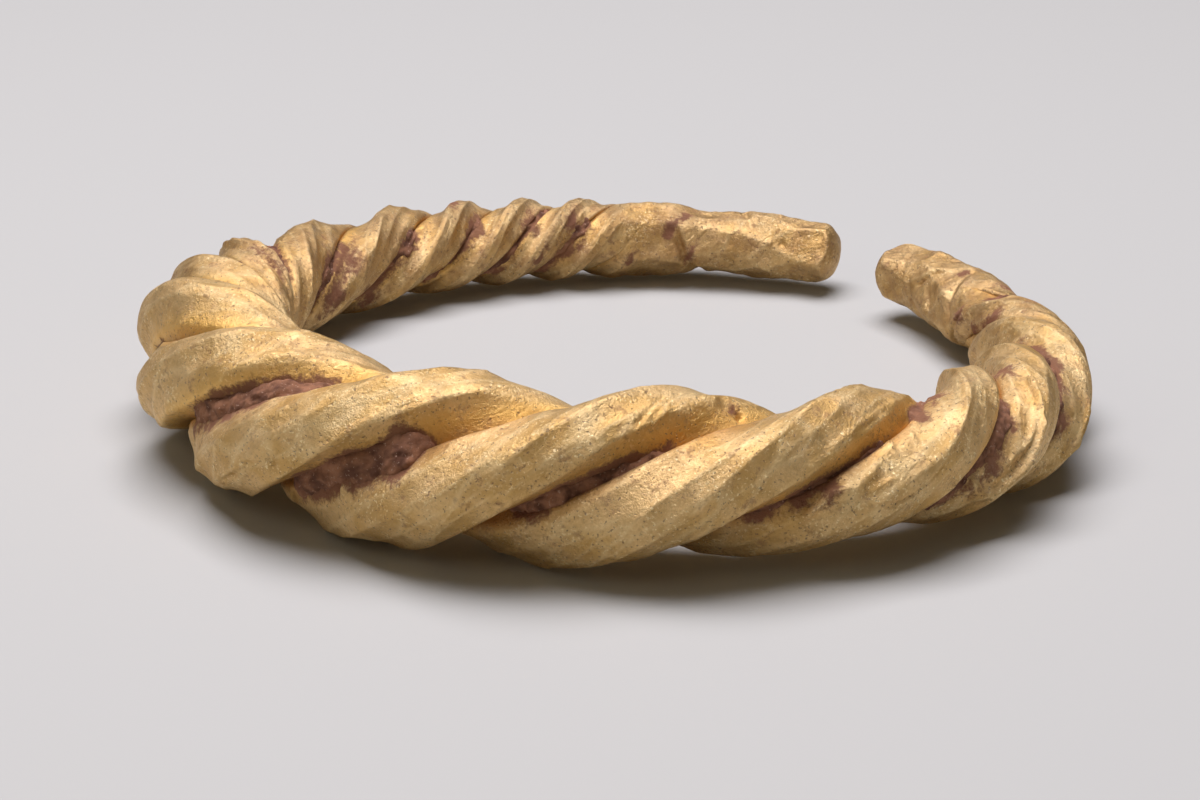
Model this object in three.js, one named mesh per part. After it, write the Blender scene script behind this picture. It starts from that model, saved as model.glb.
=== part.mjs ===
// Gold torc in the size of an arm-ring: three tapered rods of hammered gold are twisted together
// into an open hoop, and at both ends the rods are hammered into one plain terminal.
// Millimetres, +Z up. The hoop lies on its underside, with its thick middle towards -Y.
import * as THREE from 'three';

// Driving dimensions
const ROD_NAMES = ['rod_1', 'rod_2', 'rod_3'];
const GAP = 0.3; // between neighbouring rods
const START_ANGLE = -300.9; // degrees round +Z, left terminal's tip
const END_ANGLE = 48.3; // right terminal's tip
const TIP_ROUNDING = 1.3; // length over which a terminal's end is rounded off
const TIP_BLUNTNESS = 0.45; // the flat end's size, as a part of the terminal's

// Stations of the hoop, evenly spaced by angle from the left tip, round the front, to the right tip
const HOOP_RADIUS = [32.2, 30.0, 29.1, 28.7, 28.2, 28.2, 27.4, 27.7, 29.4, 29.7, 29.6, 30.9];
const CENTRE_HEIGHT = [3.1, 3.4, 4.0, 4.7, 5.8, 6.1, 6.2, 6.3, 5.8, 4.8, 3.6, 3.6];
const HALF_THICKNESS = [2.3, 3.0, 3.5, 4.3, 5.7, 6.2, 6.2, 5.8, 4.9, 4.5, 3.4, 2.3];
const TWIST = [-1359, -960, -568, -330, -83, 83, 222, 361, 505, 735, 952, 1207]; // degrees

// Where the rods are hammered into one, as parts of the whole length
const LEFT_FUSED = 0.078;
const LEFT_FREE = 0.108;
const RIGHT_FREE = 0.905;
const RIGHT_FUSED = 0.95;

// A rod's hammered section: flats round its own centre, measured from the side that faces out
const FLATS = [
  { angle: -90, reach: 1.05 },
  { angle: -45, reach: 0.97 },
  { angle: 0, reach: 1.0 },
  { angle: 45, reach: 1.0 },
  { angle: 90, reach: 1.05 },
  { angle: 180, reach: 0.9 },
];
const ARRIS_SHARPNESS = 24;
const FUSED_BACK_REACH = 1.25; // the inner side grows where the rods are one, to close the core
const CONTACT_ANGLE = 150; // the two flats that lie against the other rods
const SECTION_ANGLES = [-165, -116, -92, -67, -45, -22, 22, 45, 67, 92, 116, 165];

// Three equal round rods fill a bundle: this is a rod's radius, as a part of the bundle's
const ROD_SHARE = 1 / (1 + 1 / Math.cos(THREE.MathUtils.degToRad(30)));

const ROWS_PER_TURN = 18;
const TIP_ROWS = 5;

const rad = THREE.MathUtils.degToRad;
const lerp = THREE.MathUtils.lerp;
const smoothstep = THREE.MathUtils.smoothstep;

// Smooth curve through evenly spaced values, with u from 0 at the first to 1 at the last
function through(values, u) {
  const last = values.length - 1;
  const at = (i) => {
    if (i < 0) return 2 * values[0] - values[1];
    if (i > last) return 2 * values[last] - values[last - 1];
    return values[i];
  };
  const x = THREE.MathUtils.clamp(u, 0, 1) * last;
  const i = Math.min(Math.floor(x), last - 1);
  const t = x - i;
  const [a, b, c, d] = [at(i - 1), at(i), at(i + 1), at(i + 2)];
  const square = 2 * a - 5 * b + 4 * c - d;
  const cube = 3 * b - a - 3 * c + d;
  return 0.5 * (2 * b + (c - a) * t + square * t * t + cube * t * t * t);
}

function hoopPoint(u) {
  const angle = rad(lerp(START_ANGLE, END_ANGLE, u));
  const radius = through(HOOP_RADIUS, u);
  return new THREE.Vector3(radius * Math.cos(angle), radius * Math.sin(angle), through(CENTRE_HEIGHT, u));
}

// The hoop's centre and its outward and upward directions, square to its run
function hoopFrame(u) {
  const step = 1e-4;
  const centre = hoopPoint(u);
  const along = hoopPoint(Math.min(u + step, 1)).sub(hoopPoint(Math.max(u - step, 0))).normalize();
  const outward = new THREE.Vector3().crossVectors(along, new THREE.Vector3(0, 0, 1)).normalize();
  const upward = new THREE.Vector3().crossVectors(outward, along);
  return { centre, outward, upward };
}

function hoopLength() {
  const steps = 400;
  let length = 0;
  for (let i = 0; i < steps; i += 1) {
    length += hoopPoint(i / steps).distanceTo(hoopPoint((i + 1) / steps));
  }
  return length;
}

// 0 where the rods are separate, 1 where they are hammered into one
function fusion(u) {
  return Math.max(1 - smoothstep(u, LEFT_FUSED, LEFT_FREE), smoothstep(u, RIGHT_FREE, RIGHT_FUSED));
}

// Distance from a rod's own centre to its skin
function reach(angle, rodRadius, centreDistance, fused) {
  let sum = 0;
  for (const flat of FLATS) {
    const facing = Math.cos(rad(angle - flat.angle));
    const away = flat.angle === 180 ? lerp(flat.reach, FUSED_BACK_REACH, fused) : flat.reach;
    if (facing > 0) sum += (facing / (away * rodRadius)) ** ARRIS_SHARPNESS;
  }
  const hammered = sum ** (-1 / ARRIS_SHARPNESS);
  const bundle = rodRadius + centreDistance;
  const across = centreDistance * Math.sin(rad(angle));
  const third = Math.sqrt(bundle ** 2 - across ** 2) - centreDistance * Math.cos(rad(angle));
  let result = lerp(hammered, third, fused);
  for (const side of [-CONTACT_ANGLE, CONTACT_ANGLE]) {
    const facing = Math.cos(rad(angle - side));
    if (facing > 0) result = Math.min(result, (rodRadius - GAP / 2) / facing);
  }
  return result;
}

// Rows along the hoop: close together at the rounded tips, then evenly spaced by twist
function rowPlaces(length) {
  const tip = TIP_ROUNDING / length;
  const places = [];
  for (let i = 0; i < TIP_ROWS; i += 1) {
    places.push(tip * (1 - Math.cos((i / TIP_ROWS) * (Math.PI / 2))));
  }
  const first = through(TWIST, tip);
  const last = through(TWIST, 1 - tip);
  const rows = Math.round(((last - first) / 360) * ROWS_PER_TURN);
  for (let i = 0; i <= rows; i += 1) {
    const wanted = lerp(first, last, i / rows);
    let [low, high] = [tip, 1 - tip];
    while (high - low > 1e-6) {
      const middle = (low + high) / 2;
      if (through(TWIST, middle) < wanted) low = middle;
      else high = middle;
    }
    places.push((low + high) / 2);
  }
  for (let i = TIP_ROWS - 1; i >= 0; i -= 1) {
    places.push(1 - tip * (1 - Math.cos((i / TIP_ROWS) * (Math.PI / 2))));
  }
  return places;
}

// The terminal's size near its rounded end, as a part of its full size
function tipScale(u, length) {
  const depth = Math.min(Math.min(u, 1 - u) * length / TIP_ROUNDING, 1);
  return lerp(TIP_BLUNTNESS, 1, Math.sqrt(1 - (1 - depth) ** 2));
}

function rodGeometry(turnedBy, length) {
  const positions = [];
  const indices = [];
  const places = rowPlaces(length);
  const count = SECTION_ANGLES.length;
  for (const u of places) {
    const { centre, outward, upward } = hoopFrame(u);
    const bundleRadius = through(HALF_THICKNESS, u) * tipScale(u, length);
    const rodRadius = bundleRadius * ROD_SHARE;
    const centreDistance = bundleRadius - rodRadius;
    const facing = through(TWIST, u) + turnedBy;
    for (const angle of SECTION_ANGLES) {
      const distance = reach(angle, rodRadius, centreDistance, fusion(u));
      const out = centreDistance * Math.cos(rad(facing)) + distance * Math.cos(rad(facing + angle));
      const up = centreDistance * Math.sin(rad(facing)) + distance * Math.sin(rad(facing + angle));
      const point = centre.clone().addScaledVector(outward, out).addScaledVector(upward, up);
      positions.push(point.x, point.y, point.z);
    }
  }
  // Sides, each four-cornered patch cut along its shorter diagonal
  const apart = (i, j) => Math.hypot(...[0, 1, 2].map((k) => positions[3 * i + k] - positions[3 * j + k]));
  for (let row = 0; row < places.length - 1; row += 1) {
    for (let i = 0; i < count; i += 1) {
      const next = (i + 1) % count;
      const [a, b] = [row * count + i, row * count + next];
      const [c, d] = [a + count, b + count];
      if (apart(b, c) < apart(a, d)) indices.push(a, c, b, b, c, d);
      else indices.push(a, d, b, a, c, d);
    }
  }
  // Flat ends
  for (const row of [0, places.length - 1]) {
    const start = row * count;
    for (let i = 1; i < count - 1; i += 1) {
      if (row === 0) indices.push(start, start + i, start + i + 1);
      else indices.push(start, start + i + 1, start + i);
    }
  }
  const geometry = new THREE.BufferGeometry();
  geometry.setAttribute('position', new THREE.Float32BufferAttribute(positions, 3));
  geometry.setIndex(indices);
  geometry.computeVertexNormals();
  return geometry;
}

const gold = new THREE.MeshStandardMaterial({ color: 0xb28f52, roughness: 0.45, metalness: 1 });
const torc = new THREE.Group();
const length = hoopLength();
ROD_NAMES.forEach((name, i) => {
  const rod = new THREE.Mesh(rodGeometry(i * 120, length), gold.clone());
  rod.name = name;
  torc.add(rod);
});

// The origin is under the middle of the whole, on the surface that it lies on
const box = new THREE.Box3().setFromObject(torc);
const middle = box.getCenter(new THREE.Vector3());
for (const rod of torc.children) {
  rod.position.set(-middle.x, -middle.y, -box.min.z);
}

export default torc;
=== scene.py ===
"""Gold torc: three hammered rods twisted into an open ring, with soil left in the grooves.

The hoop and the twist are those of the CAD model. The surface is worked here: hammered flats,
arrises, dents, forged terminals, crumpled burrs, and the soil as pieces of their own.
Lengths are in millimetres and angles in degrees until a mesh is made.

A point of a rod is named by its place, which is its distance along the hoop from the left tip, and by
its direction round the rod's own centre: 0 faces out of the bundle, and -90 the rod that lies below.
Round the whole bundle, 0 faces out of the ring, 90 up and 180 into the ring.
"""
import math

import bpy
import numpy as np
from mathutils import Matrix, Vector


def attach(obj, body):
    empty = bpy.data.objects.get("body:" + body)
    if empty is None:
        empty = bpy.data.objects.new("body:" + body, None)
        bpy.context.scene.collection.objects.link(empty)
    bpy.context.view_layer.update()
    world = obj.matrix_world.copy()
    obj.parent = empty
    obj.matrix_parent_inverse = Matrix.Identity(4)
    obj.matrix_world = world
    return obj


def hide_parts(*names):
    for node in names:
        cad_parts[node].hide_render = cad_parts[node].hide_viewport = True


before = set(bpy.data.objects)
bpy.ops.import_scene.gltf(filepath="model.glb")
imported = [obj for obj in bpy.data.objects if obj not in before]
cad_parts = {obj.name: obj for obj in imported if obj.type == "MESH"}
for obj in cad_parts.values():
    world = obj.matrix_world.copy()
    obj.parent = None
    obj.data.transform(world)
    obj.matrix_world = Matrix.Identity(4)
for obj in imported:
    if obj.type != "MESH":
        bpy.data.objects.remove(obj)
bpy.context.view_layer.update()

MM = 0.001

# The hoop, as in the CAD model
RODS = ("rod_1", "rod_2", "rod_3")
HOOP_ORIGIN = np.array([0.03, 0.05, 0.04])
START_ANGLE, END_ANGLE = -300.9, 48.3
HOOP_RADIUS = (32.2, 30.0, 29.1, 28.7, 28.2, 28.2, 27.4, 27.7, 29.4, 29.7, 29.6, 30.9)
CENTRE_HEIGHT = (3.1, 3.4, 4.0, 4.7, 5.8, 6.1, 6.2, 6.3, 5.8, 4.8, 3.6, 3.6)
HALF_THICKNESS = (2.3, 3.0, 3.5, 4.3, 5.7, 6.2, 6.2, 5.8, 4.9, 4.5, 3.4, 2.3)
TWIST = (-1359, -960, -568, -330, -83, 83, 222, 361, 505, 735, 952, 1207)
ROD_TURN = 120
LEFT_FUSED, LEFT_FREE = 0.078, 0.108
RIGHT_FREE, RIGHT_FUSED = 0.905, 0.95
TIP_ROUNDING, TIP_BLUNTNESS = 1.3, 0.45
ROD_SHARE = 1 / (1 + 1 / math.cos(math.radians(30)))
CONTACT_ANGLE = 150

# The rods' meshes
ROWS, END_ROWS = 1380, 8
OUTER_COLUMNS, INNER_COLUMNS = 56, 10
OUTER_REACH = 128  # the closely spaced columns reach this far to both sides
END_RINGS = (0.03, 0.96)  # the innermost and outermost ring of a closed end, as parts of its size
END_DOME = 0.25
LOWEST = 0.02  # above the floor

# Where rods meet: how deep each runs into its neighbour, and its inner side, which never shows
CONTACT_OVERLAP, JOINED_OVERLAP = 0.02, 0.3
INNER_REACH, JOINED_INNER_REACH = 0.95, 0.2
INNER_SIDE = (135, 165)
SEAM_DEPTH, SEAM_SIDE = 0.10, (46, 68)  # the seams left between the rods where they begin to join

SEED = 7
OCTAVE_SEED = 31
FAR = 1e3
GRAZING, CONTACT_GRAZING = 0.2, 0.02  # least cosine between a ray and the flat that ends it

# Unevenness: (height, size of its lumps, octaves, seed)
SKIN_WAVES = (0.015, 3.0, 2, 11)
SKIN_DENTS = (0.015, 0.8, 3, 23)
TERMINAL_LUMPS = (0.13, 2.2, 2, 37)
TERMINAL_DENTS = (0.06, 0.8, 2, 41)
BURR_RAGGEDNESS = (0.5, 0.7, 2, 71)
STAIN_LUMPS = (0.05, 1.6, 3, 83)
SOIL_LUMPS = (0.24, 2.4, 2, 53)
SOIL_CRUMBS = (0.22, 0.75, 2, 59)
SOIL_GRAINS = (0.09, 0.3, 2, 61)
WALL, WALL_SPREAD = -104, 24  # the side of a rod that is the wall of a groove: smoother gold, with a painted orange reflection from the groove
SMOOTH_SIDE, SMOOTH_SPREAD, SMOOTHNESS = -95, 28, 0.75  # it has fewer dents
VISIBLE_SIDE = (125, 150)  # beyond this the other rods hide the skin, and it stays plain


def through(values, u):
    """Smooth curve through evenly spaced values, with u from 0 at the first to 1 at the last."""
    v = np.asarray(values, float)
    v = np.concatenate([[2 * v[0] - v[1]], v, [2 * v[-1] - v[-2]]])
    last = len(values) - 1
    x = np.clip(u, 0, 1) * last
    i = np.minimum(x.astype(int), last - 1)
    t = x - i
    a, b, c, d = v[i], v[i + 1], v[i + 2], v[i + 3]
    square = 2 * a - 5 * b + 4 * c - d
    cube = 3 * b - a - 3 * c + d
    return 0.5 * (2 * b + (c - a) * t + square * t**2 + cube * t**3)


def unit(v):
    return v / np.linalg.norm(v, axis=-1, keepdims=True)


def ramp(x, low, high):
    """0 below low, 1 above high, smooth between."""
    t = np.clip((x - low) / (high - low), 0, 1)
    return t * t * (3 - 2 * t)


def bump(x, middle, width):
    """1 at the middle, falling smoothly to nothing."""
    return np.exp(-(((x - middle) / width) ** 2))


def turned(a, b):
    """Difference of two angles, between -180 and 180."""
    return (a - b + 180) % 360 - 180


def flat_at(height, facing, grazing):
    """Distance along each ray to a flat, with the cosine between them, or far where they don't meet."""
    return np.where(facing > grazing, height / np.maximum(facing, grazing), FAR)


def hoop_point(u):
    angle = np.radians(START_ANGLE + (END_ANGLE - START_ANGLE) * u)
    radius = through(HOOP_RADIUS, u)
    point = np.stack([radius * np.cos(angle), radius * np.sin(angle), through(CENTRE_HEIGHT, u)], -1)
    return point + HOOP_ORIGIN


def hoop_frame(u):
    """The hoop's centre, and its along, outward and upward directions."""
    step = 1e-4
    along = unit(hoop_point(np.minimum(u + step, 1)) - hoop_point(np.maximum(u - step, 0)))
    outward = unit(np.cross(along, [0.0, 0.0, 1.0]))
    return hoop_point(u), along, outward, np.cross(outward, along)


# Lengths along the hoop, measured over short steps
FINE = np.linspace(0, 1, 4001)
FINE_LENGTH = np.concatenate([[0], np.cumsum(np.linalg.norm(np.diff(hoop_point(FINE), axis=0), axis=1))])
HOOP_LENGTH = FINE_LENGTH[-1]


def length_at(u):
    return np.interp(u, FINE, FINE_LENGTH)


def fused(u):
    """0 where the rods are separate, 1 where they are forged into one."""
    return np.maximum(1 - ramp(u, LEFT_FUSED, LEFT_FREE), ramp(u, RIGHT_FREE, RIGHT_FUSED))


def groove_direction(u, groove):
    """Round the whole bundle. A groove lies below the rod of the same number."""
    return through(TWIST, u) + ROD_TURN * groove - ROD_TURN / 2


# Noise

# Large numbers that scatter the lattice's values
SCATTER = (374761393, 668265263, 1442695041, 1274126177)
STIR = (1103515245, 2654435761)
WORD, FRACTION = 0xFFFFFFFF, 0xFFFFFF
LATTICE_ORIGIN = 1000.0


def lattice(i, j, k, seed):
    """A repeatable random number from 0 to 1 for each whole-number point."""
    n = (i * SCATTER[0] + j * SCATTER[1] + k * SCATTER[2] + seed * SCATTER[3]) & WORD
    n = ((n ^ (n >> 13)) * STIR[0]) & WORD
    n = ((n ^ (n >> 16)) * STIR[1]) & WORD
    return ((n ^ (n >> 15)) & FRACTION) / float(FRACTION)


def grain(p, size, seed):
    """Smooth noise from -1 to 1 with lumps of that size."""
    q = p / size + LATTICE_ORIGIN
    base = np.floor(q).astype(np.int64)
    f = q - base
    f = f * f * f * (f * (f * 6 - 15) + 10)
    total = 0
    for di in (0, 1):
        for dj in (0, 1):
            for dk in (0, 1):
                weight = f[..., 0] if di else 1 - f[..., 0]
                weight = weight * (f[..., 1] if dj else 1 - f[..., 1])
                weight = weight * (f[..., 2] if dk else 1 - f[..., 2])
                total = total + weight * lattice(
                    base[..., 0] + di, base[..., 1] + dj, base[..., 2] + dk, seed
                )
    return total * 2 - 1


def uneven(p, layer):
    """Noise of one kind from the list above, each octave half as high and half as large as the last."""
    height, size, octaves, seed = layer
    total = sum(0.5**i * grain(p, size / 2**i, seed + OCTAVE_SEED * i) for i in range(octaves))
    return height * total


# A rod's hammered skin

# Long faces, each drawn out in stretches: (direction, distance from the rod's centre in its radius, and
# that distance where the rods are thin)
LONG_FACES = (
    (122, 1.36, 1.36), (97, 1.24, 1.20), (55, 0.96, 1.00), (14, 1.10, 1.03),
    (-27, 0.93, 0.99), (-64, 1.13, 1.07), (-98, 1.06, 1.06), (-124, 1.20, 1.20),
)
FACE_LENGTH = 9.0
FACE_REACH = 1.6 * FACE_LENGTH
FACE_SHIFT, FACE_TURN = 0.3, 9  # how far a face strays, in its length and in its direction
FACE_HEIGHTS, FACE_TILT, FACE_SWELLS = (-0.03, 0.02), 0.015, (0.003, 0.006)  # a face swells to its ends
EDGE_SOFTNESS = 0.03
START_REACH = 1.45  # of the skin before the first face is cut, in the rod's radius
LARGEST_REACH = 14.0  # of a flat to both sides along the rod

# Where the rods are thick, and the thin rods' sides, which are fuller, so that their grooves are shallow
THICK_FROM, THICK_TO = (56, 70), (146, 158)
THIN_FULLNESS, FULL_SIDE = 0.17, (55, 112)
RIGHT_FULLNESS, RIGHT_FROM = 0.4, (100, 120)

# Single blows, spread at random over the side that shows
BLOWS = 300
BLOW_DIRECTIONS, BLOW_DEPTHS = (-75, 125), (0.004, 0.03)
BLOW_TILT, BLOW_SWELLS = 0.02, (0.02, 0.06)
BLOW_REACH, BLOW_SOFTNESS = 2.5, 0.015

# Single flats that are larger than the others: (rod, place, direction, distance, swell)
LARGE_FLATS = (
    (0, 75.8, -30, 0.82, 0.012),
    (0, 73.5, 12, 0.88, 0.012),
    (0, 74.5, 58, 0.90, 0.010),
    (0, 82.0, -30, 0.89, 0.003),
    (0, 85.0, 50, 0.90, 0.003),
    (2, 82.8, 16, 0.80, 0.010),
    (2, 84.2, -38, 0.84, 0.010),
    (2, 89.5, -30, 0.89, 0.004),
    (2, 92.0, -97, 0.86, 0.003),
    (2, 95.0, 52, 0.90, 0.003),
    (2, 99.0, -22, 0.91, 0.006),
    (1, 94.6, 0, 0.80, 0.008),
    (1, 97.5, 48, 0.86, 0.006),
    (1, 97.7, 104, 1.15, 0.006),
    (1, 101.5, -24, 0.88, 0.003),
    (1, 106.5, -98, 0.88, 0.003),
    (1, 104.5, 42, 0.90, 0.003),
    (1, 110.5, -26, 0.90, 0.004),
    (0, 104.5, 34, 0.88, 0.008),
    (0, 111.0, 24, 0.86, 0.006),
    (0, 116.5, 60, 0.90, 0.004),
    (0, 117.5, -20, 0.89, 0.003),
    (0, 123.0, -36, 0.88, 0.005),
    (2, 117.5, 56, 0.90, 0.005),
    (2, 121.5, 10, 0.86, 0.005),
    (2, 127.5, -16, 0.85, 0.003),
    (2, 130.5, 48, 0.88, 0.006),
    (1, 131.0, 30, 0.87, 0.006),
    (1, 135.5, -14, 0.88, 0.004),
    (2, 132.3, 60, 0.84, 0.006),
    (1, 142.5, 14, 0.66, 0.03),
    (0, 147.0, 50, 0.92, 0.006),
    (2, 160.0, 10, 0.90, 0.008),
    (1, 67.5, -60, 0.90, 0.006),
    (2, 38.0, -62, 0.87, 0.005),
    (0, 33.5, -58, 0.87, 0.005),
    (2, 24.5, -50, 0.87, 0.006),
    (1, 29.0, -55, 0.88, 0.006),
    (0, 20.5, -55, 0.88, 0.008),
)

# Faces along the whole ring, where it was flattened after the twisting: (direction, distance)
RING_FACES = ((90, 0.985), (-90, 1.0), (25, 1.03), (-35, 1.03), (160, 1.0), (210, 1.03))

# Places where a rod is fuller: (rod, place, direction, length, spread, gain)
BULGES = (
    (2, 84.5, -82, 4.2, 34, 0.12),
    (0, 74.5, -75, 3.6, 30, 0.11),
    (1, 92.5, -80, 3.6, 30, 0.12),
    (0, 104.0, -80, 4.0, 30, 0.10),
    (2, 117.0, -80, 4.0, 30, 0.08),
    (2, 128.5, 96, 4.5, 36, 0.14),
    (2, 135.0, -60, 3.2, 34, 0.14),
)

# Burrs, folds and cuts on a rod: (rod, points of its line as (place, direction), half width, height)
LINES = (
    (1, ((129.7, 92), (130.4, 62), (131.3, 38), (133.6, 20), (135.4, 34), (137.0, 52)), 0.30, 0.50),
    (1, ((132.6, 62), (134.0, 46), (136.2, 50)), 0.20, 0.22),
    (2, ((118.6, 86), (119.8, 94), (121.2, 84), (122.4, 88)), 0.28, 0.34),
    (2, ((120.2, 70), (121.6, 74), (123.6, 60)), 0.16, 0.16),
    (0, ((120.0, -62), (123.0, -66), (126.0, -72)), 0.14, 0.12),
    (1, ((114.2, -72), (114.9, -86), (115.4, -100)), 0.26, -0.50),
    (1, ((108.6, -62), (110.2, -36)), 0.16, -0.14),
    (1, ((109.6, -66), (111.4, -34)), 0.14, -0.14),
    (1, ((110.8, -60), (112.4, -38)), 0.12, -0.12),
    (2, ((82.6, -16), (84.0, -26)), 0.30, -0.26),
    (2, ((85.6, -18), (86.4, -48)), 0.20, -0.16),
    (2, ((86.8, -14), (87.4, -46)), 0.18, -0.14),
    (2, ((86.6, -74), (90.0, -66), (92.4, -54), (95.2, -48), (97.4, -46), (100.0, -58)), 0.16, 0.12),
    (0, ((83.0, -60), (85.5, -66), (88.0, -74)), 0.22, 0.16),
    (0, ((53.2, -40), (54.6, -22), (54.2, 2), (55.4, 24), (56.8, 36)), 0.42, 0.32),
    (0, ((55.6, -30), (56.4, -6), (57.4, 10)), 0.30, 0.22),
    (1, ((99.0, 6), (102.5, 2), (106.0, 8)), 0.12, 0.08),
    (0, ((108.5, 44), (111.0, 52), (114.0, 40)), 0.16, 0.12),
    (2, ((123.0, 22), (124.5, 8), (126.5, 4)), 0.16, -0.14),
    (0, ((139.0, 40), (141.0, 20), (143.0, 22)), 0.24, 0.24),
    (1, ((168.0, -40), (170.2, -19), (171.0, 10)), 0.30, -0.34),
    (2, ((163.6, 36), (164.8, 55), (165.4, 80)), 0.28, -0.34),
)

# Faces left by forging the terminals, round the whole bundle: (place from the tip, direction, distance)
LEFT_FACES = (
    (0.8, 150, 0.76), (1.4, 215, 0.84), (2.2, 95, 0.88), (3.4, 178, 0.88), (3.0, 265, 0.92),
    (4.6, 128, 0.87), (5.6, 232, 0.90), (6.4, 165, 0.91), (8.2, 205, 0.89), (8.8, 120, 0.90),
    (2.0, 20, 0.88), (5.5, -30, 0.93), (7.0, 40, 0.92), (10.0, 160, 0.90), (9.6, 240, 0.86),
    (9.8, 270, 0.80), (9.4, 95, 0.84), (9.4, 60, 0.87), (14.8, 166, 0.80), (15.2, 112, 0.88),
    (14.4, 226, 0.84), (14.8, 60, 0.92), (15.0, -60, 0.92),
)
RIGHT_FACES = (
    (0.8, 100, 0.80), (1.4, 190, 0.80), (2.6, 235, 0.88), (3.2, 140, 0.88), (4.6, 210, 0.86),
    (5.6, 95, 0.89), (6.6, 165, 0.86), (7.8, 225, 0.90), (9.0, 120, 0.88), (2.2, -10, 0.88),
    (5.0, 30, 0.92), (8.0, -20, 0.93), (10.6, 175, 0.88), (11.5, 90, 0.90), (12.5, 140, 0.88),
)
FORGED_SWELL, FORGED_REACH = 0.035, 4.0

# Nicks across the joined rods: (place from the tip, direction, spread, width, depth)
LEFT_NICKS = ((11.8, 205, 70, 0.40, 0.55), (7.3, 95, 26, 0.30, 0.22), (4.0, 150, 20, 0.25, 0.18))
RIGHT_NICKS = (
    (11.6, 160, 60, 0.40, 0.45), (8.2, 185, 30, 0.30, 0.40), (5.4, 190, 26, 0.30, 0.35),
    (3.0, 120, 22, 0.25, 0.20),
)
NICK_SLANT = 0.02

LEFT_SMITHED, RIGHT_SMITHED = 18.5, 14.0  # how far from the tips the terminals' faces reach
SMITHED_FADE = 3

# Soil left in the grooves: (groove, start, end, level), where the level is how high the soil stands, as a
# part of the bundle's half thickness
SOIL = (
    (0, 75.5, 90.5, 0.64), (2, 84.5, 98.0, 0.65), (1, 101.5, 105.5, 0.57), (1, 99.0, 113.0, 0.53),
    (0, 113.0, 126.5, 0.57), (0, 126.0, 130.5, 0.64), (2, 124.0, 137.0, 0.68), (1, 132.0, 150.0, 0.70),
    (0, 142.0, 157.0, 0.72), (2, 151.0, 165.0, 0.73), (1, 160.0, 168.0, 0.72), (2, 42.0, 52.0, 0.72),
    (0, 33.0, 46.0, 0.71), (1, 27.0, 38.0, 0.72), (2, 21.0, 32.0, 0.72), (0, 18.5, 26.5, 0.74),
    (1, 61.0, 70.0, 0.62), (0, 54.0, 62.0, 0.68), (1, 47.0, 55.0, 0.69),
)
SOIL_EMPTY, SOIL_FLOOR = 0.2, 0.12  # level where there is none, and of the underside
SOIL_TAPER = 0.22  # part of its length over which a stretch rises, and falls again
SOIL_HALF_WIDTH, SOIL_CROWN = 40, 0.16  # the soil falls by its crown towards its sides
SOIL_COLUMNS, SOIL_UNDER = 46, 5
SOIL_STEP = 0.13

# Stains away from the soil: (rod, place, direction, size)
STAINS = (
    (1, 13.2, -6, 1.0), (1, 12.2, 0, 0.7), (2, 11.6, -60, 0.6), (1, 16.8, -45, 0.6), (1, 8.2, 12, 0.4),
    (2, 21.7, 57, 0.9), (2, 24.5, 20, 0.7), (0, 30.5, -30, 1.1), (0, 27.0, 60, 0.8), (1, 36.0, -50, 0.9),
    (2, 43.5, -75, 1.5), (2, 46.0, -62, 1.5), (0, 40.0, -60, 1.0), (0, 56.0, -10, 1.2),
    (2, 50.0, -40, 1.2), (1, 114.9, -86, 0.35), (2, 130.0, 98, 1.0), (2, 119.8, 104, 0.8),
    (1, 131.5, 96, 1.3), (1, 138.0, 92, 1.0), (0, 140.3, 88, 0.9), (1, 163.8, 30, 0.9),
    (2, 163.4, 20, 0.9), (0, 169.4, 20, 0.8), (1, 167.6, 10, 0.5), (2, 171.0, 0, 0.5),
    (0, 173.2, -10, 0.5), (1, 138.5, 118, 1.0), (1, 140.5, 122, 1.0), (0, 148.5, 112, 0.9),
    (0, 151.0, 116, 0.9), (2, 158.5, 108, 0.9), (2, 161.0, 100, 0.8), (0, 168.8, -88, 1.0),
)
STAIN_STRENGTH = 0.9
STAIN_RISE, STAIN_SIDE = 0.11, 75  # how far the soil stains the gold above it, and to its sides
LEAST_SOIL = 0.3  # a groove with less soil than this has no stain


class Grid:
    """A rod's rows along the hoop and columns round the rod, with the sizes at each of them."""

    def __init__(self, rod):
        self.rod = rod
        self.closing = np.ones(ROWS + 2 * END_ROWS)
        self.closing[:END_ROWS] = np.linspace(*END_RINGS, END_ROWS)
        self.closing[-END_ROWS:] = self.closing[:END_ROWS][::-1]
        self.u = np.concatenate([np.zeros(END_ROWS), rod_rows(), np.ones(END_ROWS)])
        self.alpha = rod_columns()[None, :] * np.ones((len(self.u), 1))
        self.s = length_at(self.u)[:, None] * np.ones_like(self.alpha)
        self.bundle = (through(HALF_THICKNESS, self.u) * tip_scale(self.u) * self.closing)[:, None]
        self.radius = self.bundle * ROD_SHARE
        self.offset = self.bundle - self.radius  # of the rod's centre from the bundle's
        self.facing = (through(TWIST, self.u) + ROD_TURN * rod)[:, None]
        self.join = fused(self.u)[:, None]

    def radius_at(self, place):
        return np.interp(place, self.s[:, 0], self.radius[:, 0])

    def doming(self):
        """How far the rows of the closed ends stand out along the hoop."""
        out = 1 - self.closing**2
        out[:END_ROWS] *= -1
        return END_DOME * out


def rod_rows():
    """Places of the rows along the hoop, closer together where the rods are thinner."""
    density = through(HALF_THICKNESS, FINE) ** -0.5
    total = np.concatenate([[0], np.cumsum((density[1:] + density[:-1]) / 2)])
    return np.interp(np.linspace(0, total[-1], ROWS), total, FINE)


def rod_columns():
    outer = np.linspace(-OUTER_REACH, OUTER_REACH, OUTER_COLUMNS)
    inner = np.linspace(OUTER_REACH, 360 - OUTER_REACH, INNER_COLUMNS + 2)[1:-1]
    return np.concatenate([outer, inner])


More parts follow.
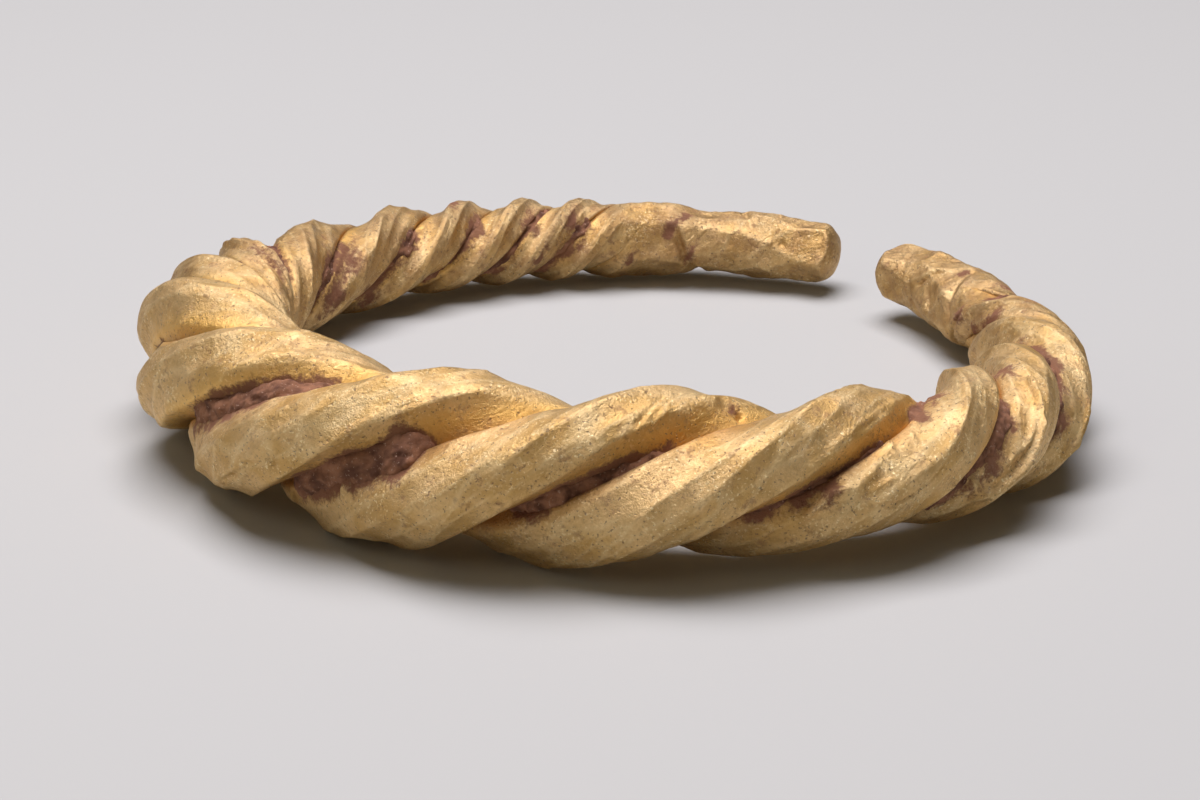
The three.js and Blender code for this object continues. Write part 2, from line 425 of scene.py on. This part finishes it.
def tip_scale(u):
    """The terminal's size near its rounded tip, as a part of its full size."""
    depth = np.clip(np.minimum(u, 1 - u) * HOOP_LENGTH / TIP_ROUNDING, 0, 1)
    return TIP_BLUNTNESS + (1 - TIP_BLUNTNESS) * np.sqrt(1 - (1 - depth) ** 2)


def thinness(place):
    """0 along the thick front of the hoop, 1 where the rods are thin."""
    return 1 - ramp(place, *THICK_FROM) * (1 - ramp(place, *THICK_TO))


class Skin:
    """The distance of a skin from its centre, by place and direction, lowered face by face."""

    def __init__(self, s, angle, distance):
        self.s, self.angle, self.distance = s, angle, distance.copy()
        self.arris = np.zeros_like(angle)

    def cut(self, rows, limit, soft):
        """Lowers the skin to the limit, rounding the edge where they meet, and marks that edge."""
        old = self.distance[rows]
        gap = old - limit
        mix = np.clip(0.5 + 0.5 * gap / soft, 0, 1)
        self.distance[rows] = old + (limit - old) * mix - soft * mix * (1 - mix)
        edge = 1 - np.clip(np.abs(gap) / (3 * soft), 0, 1)
        self.arris[rows] = np.maximum(self.arris[rows] * np.where(mix > 0.5, edge, 1), edge)

    def face(self, place, direction, height, tilt, swell, reach, soft):
        """One flat face square to that direction, in millimetres from the rod's centre."""
        first, last = np.searchsorted(self.s[:, 0], (place - reach, place + reach))
        if last <= first:
            return
        rows = slice(first, last)
        away = self.s[rows] - place
        facing = np.cos(np.radians(turned(self.angle[rows], direction)))
        self.cut(rows, flat_at(height + tilt * away + swell * away**2, facing, GRAZING), soft)


def draw_out(skin, grid, rng):
    """Long faces, as the rod was drawn out."""
    count = int(HOOP_LENGTH / FACE_LENGTH) + 2
    for direction, thick_height, thin_height in LONG_FACES:
        for i in range(count):
            place = (i + rng.uniform(-FACE_SHIFT, FACE_SHIFT)) * FACE_LENGTH
            height = thick_height + (thin_height - thick_height) * thinness(place)
            skin.face(
                place,
                direction + rng.uniform(-FACE_TURN, FACE_TURN),
                (height + rng.uniform(*FACE_HEIGHTS)) * grid.radius_at(place),
                rng.uniform(-FACE_TILT, FACE_TILT),
                rng.uniform(*FACE_SWELLS),
                FACE_REACH,
                EDGE_SOFTNESS,
            )


def flatten(skin, grid):
    """The larger flats, each as long as its swell lets it be."""
    for rod, place, direction, height, swell in LARGE_FLATS:
        if rod == grid.rod:
            size = grid.radius_at(place)
            reach = min(math.sqrt((START_REACH - height) * size / swell), LARGEST_REACH)
            skin.face(place, direction, height * size, 0.0, swell, reach, EDGE_SOFTNESS)


def strike(skin, grid, rng):
    """Single blows, each a little below the skin that it falls on."""
    for _ in range(BLOWS):
        place = rng.uniform(0, HOOP_LENGTH)
        direction = rng.uniform(*BLOW_DIRECTIONS)
        row = min(int(np.searchsorted(grid.s[:, 0], place)), len(grid.s) - 1)
        outer = slice(0, OUTER_COLUMNS)
        here = np.interp(direction, grid.alpha[row, outer], skin.distance[row, outer])
        depth = rng.uniform(*BLOW_DEPTHS) * grid.radius[row, 0]
        tilt = rng.uniform(-BLOW_TILT, BLOW_TILT)
        swell = rng.uniform(*BLOW_SWELLS)
        skin.face(place, direction, here - depth, tilt, swell, BLOW_REACH, BLOW_SOFTNESS)


def hammered(grid):
    """A rod's long faces, its larger flats and its single blows, and then the places where it is fuller."""
    rng = np.random.default_rng(SEED + grid.rod)
    s, alpha = grid.s, grid.alpha
    skin = Skin(s, alpha, START_REACH * grid.radius * np.ones_like(alpha))
    draw_out(skin, grid, rng)
    flatten(skin, grid)
    strike(skin, grid, rng)
    fuller = thinness(s) * (1 - (1 - RIGHT_FULLNESS) * ramp(s, *RIGHT_FROM))
    skin.distance *= 1 + THIN_FULLNESS * fuller * ramp(np.abs(turned(alpha, 0)), *FULL_SIDE)
    for rod, place, direction, length, spread, gain in BULGES:
        if rod == grid.rod:
            skin.distance *= 1 + gain * bump(s, place, length) * bump(turned(alpha, direction), 0, spread)
    return skin


def section(grid, worked):
    """A rod's skin: hammered where the rods are separate, a third of the bundle where they are one."""
    across = grid.offset * np.sin(np.radians(grid.alpha))
    third = np.sqrt(grid.bundle**2 - across**2) - grid.offset * np.cos(np.radians(grid.alpha))
    skin = worked + (third - worked) * grid.join
    touching = grid.radius + CONTACT_OVERLAP + JOINED_OVERLAP * grid.join
    for side in (-CONTACT_ANGLE, CONTACT_ANGLE):
        facing = np.cos(np.radians(grid.alpha - side))
        skin = np.minimum(skin, flat_at(touching, facing, CONTACT_GRAZING))
    inside = ramp(np.abs(turned(grid.alpha, 0)), *INNER_SIDE)
    core = grid.radius * (INNER_REACH + JOINED_INNER_REACH * grid.join)
    return skin + (np.minimum(skin, core) - skin) * inside


def ring_flattened(grid, psi, distance):
    """The bundle's skin, cut by the faces along the whole ring."""
    for direction, height in RING_FACES:
        facing = np.cos(np.radians(turned(psi, direction)))
        distance = np.minimum(distance, flat_at(height * grid.bundle, facing, GRAZING))
    return distance


def from_both_tips(left, right):
    """Two lists whose first values are places from the left and the right tip, as one list of places."""
    return [*left, *((HOOP_LENGTH - place, *rest) for place, *rest in right)]


def forged(grid, psi, distance):
    """The terminals' skin: faces and nicks hammered across the joined rods."""
    skin = Skin(grid.s, psi, distance)
    for place, direction, height in from_both_tips(LEFT_FACES, RIGHT_FACES):
        size = np.interp(place, grid.s[:, 0], grid.bundle[:, 0])
        skin.face(place, direction, height * size, 0.0, FORGED_SWELL, FORGED_REACH, EDGE_SOFTNESS)
    for place, direction, spread, width, depth in from_both_tips(LEFT_NICKS, RIGHT_NICKS):
        off = turned(psi, direction)
        skin.distance -= depth * bump(grid.s + NICK_SLANT * off, place, width) * bump(off, 0, spread)
    seam = ramp(np.abs(turned(psi, grid.facing)), *SEAM_SIDE)
    skin.distance *= 1 - seam * grid.join * SEAM_DEPTH * (1 - grid.join)
    return skin


def smithed(s):
    """1 near the tips, where the terminals' faces are, and 0 elsewhere."""
    left = 1 - ramp(s, LEFT_SMITHED - SMITHED_FADE, LEFT_SMITHED)
    right = ramp(s, HOOP_LENGTH - RIGHT_SMITHED, HOOP_LENGTH - RIGHT_SMITHED + SMITHED_FADE)
    return np.maximum(left, right)


def lined(grid, points):
    """Height of the burrs (above 0) and cuts (below 0) at each point of a rod's skin."""
    total = np.zeros_like(grid.s)
    ragged = 1 + uneven(points, BURR_RAGGEDNESS)
    for rod, line, half_width, height in LINES:
        if rod != grid.rod:
            continue
        nearest = np.full(grid.s.shape, FAR)
        size = grid.radius_at(line[0][0])
        for (s0, a0), (s1, a1) in zip(line, line[1:]):
            run, climb = s1 - s0, math.radians(a1 - a0) * size
            away, up = grid.s - s0, np.radians(turned(grid.alpha, a0)) * size
            t = np.clip((away * run + up * climb) / (run**2 + climb**2), 0, 1)
            nearest = np.minimum(nearest, np.hypot(away - t * run, up - t * climb))
        total += height * ragged * bump(nearest, 0, half_width)
    return total


def soil_level(s, groove):
    """How high the soil stands in a groove, as a part of the bundle's half thickness."""
    level = np.full(np.shape(s), SOIL_EMPTY)
    for which, start, end, height in SOIL:
        if which == groove:
            taper = SOIL_TAPER * (end - start)
            body = ramp(s, start, start + taper) * (1 - ramp(s, end - taper, end))
            level = np.maximum(level, SOIL_EMPTY + (height - SOIL_EMPTY) * body)
    return level


def stained(grid, psi, distance, points):
    """How strongly soil stains the gold at each point, from 0 to 1."""
    stain = np.zeros_like(grid.s)
    lumps = uneven(points, STAIN_LUMPS)
    for groove in range(len(RODS)):
        side = np.abs(turned(psi, groove_direction(grid.u, groove)[:, None]))
        level = soil_level(grid.s, groove)
        above = distance - (level + lumps) * grid.bundle
        near = np.clip(1 - above / (STAIN_RISE * grid.bundle), 0, 1) * (side < STAIN_SIDE)
        stain = np.maximum(stain, near * (level > LEAST_SOIL))
    for rod, place, direction, size in STAINS:
        if rod == grid.rod:
            around = np.hypot(grid.s - place, np.radians(turned(grid.alpha, direction)) * grid.radius)
            stain = np.maximum(stain, STAIN_STRENGTH * bump(around, 0, size))
    return stain


def rod_skin(rod):
    """Points of a rod's skin, row by row, and what its material needs to know at each point."""
    grid = Grid(rod)
    worked = hammered(grid)
    skin = section(grid, worked.distance)

    # The same skin seen from the bundle's centre, for the faces that run across all three rods
    turn = np.radians(grid.facing + grid.alpha)
    out = grid.offset * np.cos(np.radians(grid.facing)) + skin * np.cos(turn)
    up = grid.offset * np.sin(np.radians(grid.facing)) + skin * np.sin(turn)
    psi = np.degrees(np.arctan2(up, out))
    full = np.hypot(out, up)
    flat = ring_flattened(grid, psi, full)
    smith = forged(grid, psi, flat)
    near_tip = smithed(grid.s)
    distance = flat + (smith.distance - flat) * near_tip
    out, up = out * distance / full, up * distance / full

    centre, along, outward, upward = (x[:, None, :] for x in hoop_frame(grid.u))
    points = centre + out[..., None] * outward + up[..., None] * upward
    points = points + grid.doming()[:, None, None] * along
    normal = np.cos(turn)[..., None] * outward + np.sin(turn)[..., None] * upward
    marks = {
        "arris": np.maximum(worked.arris * (1 - near_tip), smith.arris * near_tip),
        "depth": 1 - distance / grid.bundle,
        "stain": stained(grid, psi, distance, points),
        "wall": bump(grid.alpha, WALL, WALL_SPREAD) * (1 - grid.join),
        # painted shade: marks the thin back of the ring, which the material darkens
        "thin_back": thinness(grid.s),
    }

    smooth = 1 - SMOOTHNESS * bump(grid.alpha, SMOOTH_SIDE, SMOOTH_SPREAD)
    rough = uneven(points, SKIN_WAVES) + smooth * uneven(points, SKIN_DENTS)
    rough += grid.join * (uneven(points, TERMINAL_LUMPS) + uneven(points, TERMINAL_DENTS))
    rough += lined(grid, points)
    visible = 1 - ramp(np.abs(turned(grid.alpha, 0)), *VISIBLE_SIDE)
    points = points + (rough * visible * grid.closing[:, None])[..., None] * normal
    points[..., 2] = np.maximum(points[..., 2], LOWEST)
    return points, marks


def soil_skin(groove, start, end):
    """A closed tube: a gritty top over a plain underside that the rods hide."""
    s = np.arange(start, end, SOIL_STEP)
    u = np.interp(s, FINE_LENGTH, FINE)
    bundle = through(HALF_THICKNESS, u)[:, None]
    tops = np.linspace(-SOIL_HALF_WIDTH, SOIL_HALF_WIDTH, SOIL_COLUMNS)
    unders = np.linspace(SOIL_HALF_WIDTH, -SOIL_HALF_WIDTH, SOIL_UNDER + 2)[1:-1]
    across = np.concatenate([tops, unders])[None, :]
    is_top = (np.arange(across.size) < SOIL_COLUMNS)[None, :]
    centre, _, outward, upward = (x[:, None, :] for x in hoop_frame(u))
    turn = np.radians(groove_direction(u, groove)[:, None] + across)
    direction = np.cos(turn)[..., None] * outward + np.sin(turn)[..., None] * upward
    crown = SOIL_CROWN * (across / SOIL_HALF_WIDTH) ** 2
    distance = bundle * np.where(is_top, soil_level(s, groove)[:, None] - crown, SOIL_FLOOR)
    points = centre + distance[..., None] * direction
    grit = uneven(points, SOIL_LUMPS) + np.abs(uneven(points, SOIL_CRUMBS)) + uneven(points, SOIL_GRAINS)
    return points + (grit * is_top)[..., None] * direction


def tube_mesh(name, points, marks):
    """A closed mesh through rows of points, with the marks as attributes for its material."""
    rows, columns = points.shape[:2]
    mesh = bpy.data.meshes.new(name)
    index = np.arange(rows * columns).reshape(rows, columns)
    a, b = index[:-1], np.roll(index[:-1], -1, 1)
    c, d = np.roll(index[1:], -1, 1), index[1:]
    quads = np.stack([a, d, c, b], -1).reshape(-1, 4)
    faces = quads.tolist() + [index[0].tolist(), index[-1][::-1].tolist()]
    mesh.from_pydata((points.reshape(-1, 3) * MM).tolist(), [], faces)
    for mark, values in marks.items():
        mesh.attributes.new(mark, "FLOAT", "POINT").data.foreach_set("value", values.ravel())
    mesh.polygons.foreach_set("use_smooth", [True] * len(mesh.polygons))
    mesh.update()
    mesh.validate()
    piece = bpy.data.objects.new(name, mesh)
    bpy.context.scene.collection.objects.link(piece)
    return piece


# Materials. Noise is given as its lumps in a metre, so that 1000 is lumps of a millimetre.

PALE_GOLD = (0.79, 0.55, 0.255, 1)
DEEP_GOLD = (0.66, 0.42, 0.15, 1)
DULL_GOLD = (0.54, 0.33, 0.12, 1)
# painted highlight: the pale colour of the glints
GLINT_GOLD = (0.98, 0.80, 0.44, 1)
WORN_GOLD = (0.92, 0.72, 0.38, 1)
# painted reflection: the orange light a groove throws onto its walls, over their smoother gold
WALL_REFLECTION_GOLD = (0.93, 0.57, 0.15, 1)
# painted shade: darker gold deep in the grooves
GROOVE_SHADE_GOLD = (0.46, 0.23, 0.07, 1)
# painted shade: patchy brown darkening over the thin back of the ring
BACK_SHADE_BROWN = (0.36, 0.20, 0.09, 1)
PIT_BROWN = (0.20, 0.10, 0.045, 1)
STAIN_BROWN = (0.20, 0.07, 0.035, 1)
DARK_SOIL, LIGHT_SOIL = (0.120, 0.046, 0.022, 1), (0.33, 0.150, 0.075, 1)
SOIL_SPECK = (0.50, 0.32, 0.22, 1)
FLOOR_GREY = (0.455, 0.45, 0.41, 1)
GOLD_RELIEF, SOIL_RELIEF = 0.14 * MM, 0.12 * MM
RELIEF_STRENGTH = 0.9


class Nodes:
    """Short names for making shader nodes."""

    def __init__(self, name):
        self.material = bpy.data.materials.new(name)
        self.material.use_nodes = True
        self.tree = self.material.node_tree
        self.tree.nodes.clear()

    def put(self, node, key, value):
        """Links another node's output to an input, or sets the input to a constant."""
        if isinstance(value, bpy.types.NodeSocket):
            self.tree.links.new(value, node.inputs[key])
        else:
            node.inputs[key].default_value = value

    def add(self, kind, inputs=None, **settings):
        node = self.tree.nodes.new(kind)
        for key, value in settings.items():
            setattr(node, key, value)
        for key, value in (inputs or {}).items():
            self.put(node, key, value)
        return node

    def math(self, operation, a, b, clamp=False):
        return self.add("ShaderNodeMath", {0: a, 1: b}, operation=operation, use_clamp=clamp).outputs[0]

    def times(self, a, b):
        return self.math("MULTIPLY", a, b)

    def span(self, value, low, high, to_low=0.0, to_high=1.0):
        """Smoothly carries low to high over to the other range."""
        inputs = {"Value": value, "From Min": low, "From Max": high, "To Min": to_low, "To Max": to_high}
        return self.add("ShaderNodeMapRange", inputs, interpolation_type="SMOOTHSTEP").outputs[0]

    def mix(self, factor, a, b):
        # A colour mix node has its factor, and its two colours, at inputs 0, 6 and 7
        return self.add("ShaderNodeMix", {0: factor, 6: a, 7: b}, data_type="RGBA").outputs[2]

    def mark(self, name):
        return self.add("ShaderNodeAttribute", attribute_name=name).outputs["Fac"]

    def place(self):
        return self.add("ShaderNodeTexCoord").outputs["Object"]

    def noise(self, vector, scale, detail=3.0, roughness=0.55):
        inputs = {"Vector": vector, "Scale": scale, "Detail": detail, "Roughness": roughness}
        return self.add("ShaderNodeTexNoise", inputs).outputs["Fac"]

    def relief(self, height, distance):
        inputs = {"Height": height, "Distance": distance, "Strength": RELIEF_STRENGTH}
        return self.add("ShaderNodeBump", inputs).outputs[0]

    def finish(self, **inputs):
        """The surface, with the shader's inputs by name."""
        named = {key.replace("_", " "): value for key, value in inputs.items()}
        shader = self.add("ShaderNodeBsdfPrincipled", named)
        self.add("ShaderNodeOutputMaterial", {"Surface": shader.outputs[0]})
        return self.material


def gold_material():
    n = Nodes("old_gold")
    place = n.place()
    depth, arris, stain, wall, thin_back = (n.mark(name) for name in ("depth", "arris", "stain", "wall", "thin_back"))
    blotch = n.noise(place, 330.0)
    grainy = n.span(n.math("ADD", n.noise(place, 480.0, 4.0), n.times(arris, 0.06)), 0.36, 0.70)
    pits = n.noise(place, 4600.0, 2.0)
    speckle = n.noise(place, 3600.0, 4.0, 0.7)
    # painted highlights: scattered glint flecks on the grainy gold, paler in colour and also smoother
    glint = n.times(n.span(n.noise(place, 5200.0, 2.0), 0.57, 0.66), grainy)
    grit = n.noise(place, 4200.0, 4.0, 0.8)

    tint = n.mix(n.span(blotch, 0.38, 0.64), PALE_GOLD, DEEP_GOLD)
    tint = n.mix(n.span(speckle, 0.35, 0.65, 0.0, 0.4), tint, DULL_GOLD)
    tint = n.mix(glint, tint, GLINT_GOLD)
    tint = n.mix(n.times(arris, 0.45), tint, WORN_GOLD)
    # painted reflection: the groove walls are tinted orange for the light reflected inside the groove
    tint = n.mix(n.times(wall, 0.85), tint, WALL_REFLECTION_GOLD)
    # painted shade: the deeper a point lies below the bundle's skin, the darker its gold
    tint = n.mix(n.times(n.span(depth, 0.2, 0.5), 0.6), tint, GROOVE_SHADE_GOLD)
    # painted shade: a patchy brown darkening over the thin back of the ring
    back_shade = n.times(thin_back, n.span(n.noise(place, 620.0, 4.0, 0.65), 0.40, 0.62, 0.12, 0.50))
    tint = n.mix(back_shade, tint, BACK_SHADE_BROWN)
    dark = n.times(n.span(pits, 0.62, 0.70), 0.7)
    tint = n.mix(dark, tint, PIT_BROWN)
    patches = n.math("ADD", n.noise(place, 900.0, 2.0), n.noise(place, 3400.0, 5.0, 0.7))
    ragged = n.math("ADD", stain, n.span(patches, 0.6, 1.4, -0.75, 0.3))
    dirty = n.span(ragged, -0.1, 0.65)
    tint = n.mix(n.times(dirty, 0.9), tint, STAIN_BROWN)

    rough = n.span(n.noise(place, 1100.0), 0.3, 0.7, 0.43, 0.55)
    rough = n.math("SUBTRACT", rough, n.times(glint, 0.16))
    rough = n.math("SUBTRACT", rough, n.times(wall, 0.08))
    rough = n.math("ADD", rough, n.times(dirty, 0.4), clamp=True)
    metal = n.math("SUBTRACT", 1.0, n.times(n.math("MAXIMUM", dirty, dark), 0.9))
    grit = n.times(n.math("SUBTRACT", grit, 0.5), n.span(grainy, 0.0, 1.0, 0.7, 1.2))
    height = n.math("ADD", grit, n.times(n.noise(place, 1900.0, 3.0), 0.6))
    height = n.math("SUBTRACT", height, n.times(dark, 0.3))
    relief = n.relief(height, GOLD_RELIEF)
    return n.finish(Base_Color=tint, Metallic=metal, Roughness=rough, Normal=relief)


def soil_material():
    n = Nodes("burial_soil")
    place = n.place()
    tint = n.mix(n.span(n.noise(place, 700.0), 0.35, 0.65), DARK_SOIL, LIGHT_SOIL)
    speck = n.span(n.noise(place, 5200.0, 2.0), 0.62, 0.72)
    tint = n.mix(n.times(speck, 0.7), tint, SOIL_SPECK)
    relief = n.relief(n.noise(place, 3800.0, 6.0, 0.7), SOIL_RELIEF)
    return n.finish(Base_Color=tint, Roughness=0.95, Normal=relief)


def floor_material():
    return Nodes("floor").finish(Base_Color=FLOOR_GREY, Roughness=0.8)


# The pieces

def make_rods():
    gold = gold_material()
    for i, name in enumerate(RODS):
        piece = tube_mesh(f"{name}_gold", *rod_skin(i))
        piece.data.materials.append(gold)
        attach(piece, "root")
        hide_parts(name)


def make_soil():
    earth = soil_material()
    for number, (groove, start, end, _) in enumerate(SOIL, 1):
        piece = tube_mesh(f"soil_{number}", soil_skin(groove, start, end), {})
        piece.data.materials.append(earth)
        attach(piece, "root")


# Stage, lights and camera, in metres

FLOOR_SIZE, FLOOR_DROP = 6.0, 0.00002
SKY_TINT, SKY_STRENGTH = (1.0, 0.95, 0.85, 1), 0.09

CAMERA_PLACE = (0.00652, -0.23440, 0.09012)
CAMERA_AIM = (-0.02946, 0.93452, -0.35468)
CAMERA_ROLL = 0.46
LENS = 105.6
CLIP = (0.01, 20.0)


def make_floor():
    bpy.ops.mesh.primitive_plane_add(size=FLOOR_SIZE, location=(0, 0, -FLOOR_DROP))
    floor = bpy.context.object
    floor.name = "floor"
    floor.data.materials.append(floor_material())


def area_light(name, place, size, power, tint):
    """A rectangular light that faces the torc."""
    data = bpy.data.lights.new(name, "AREA")
    data.shape = "RECTANGLE"
    data.size, data.size_y = size
    data.energy = power
    data.color = tint
    lamp = bpy.data.objects.new(name, data)
    lamp.location = place
    lamp.rotation_euler = (-Vector(place)).to_track_quat("-Z", "Y").to_euler()
    bpy.context.scene.collection.objects.link(lamp)


def make_lights():
    world = bpy.data.worlds.new("studio")
    bpy.context.scene.world = world
    world.use_nodes = True
    sky = world.node_tree.nodes["Background"]
    sky.inputs["Color"].default_value = SKY_TINT
    sky.inputs["Strength"].default_value = SKY_STRENGTH
    area_light("key", place=(-0.04, 0.05, 0.49), size=(0.42, 0.36), power=4.1, tint=(0.98, 0.96, 1.08))
    area_light("fill", place=(-0.30, -0.35, 0.34), size=(0.30, 0.30), power=0.28, tint=(1.0, 0.92, 0.78))
    bpy.context.scene.view_settings.view_transform = "Standard"


def make_camera():
    data = bpy.data.cameras.new("camera")
    data.lens = LENS
    data.sensor_width = 36.0
    data.clip_start, data.clip_end = CLIP
    camera = bpy.data.objects.new("camera", data)
    aim = Vector(CAMERA_AIM).to_track_quat("-Z", "Y").to_matrix()
    roll = Matrix.Rotation(math.radians(CAMERA_ROLL), 3, "Z")
    camera.matrix_world = Matrix.Translation(CAMERA_PLACE) @ (aim @ roll).to_4x4()
    bpy.context.scene.collection.objects.link(camera)
    bpy.context.scene.camera = camera


make_camera()
make_floor()
make_lights()
make_rods()
make_soil()

bpy.context.view_layer.update()
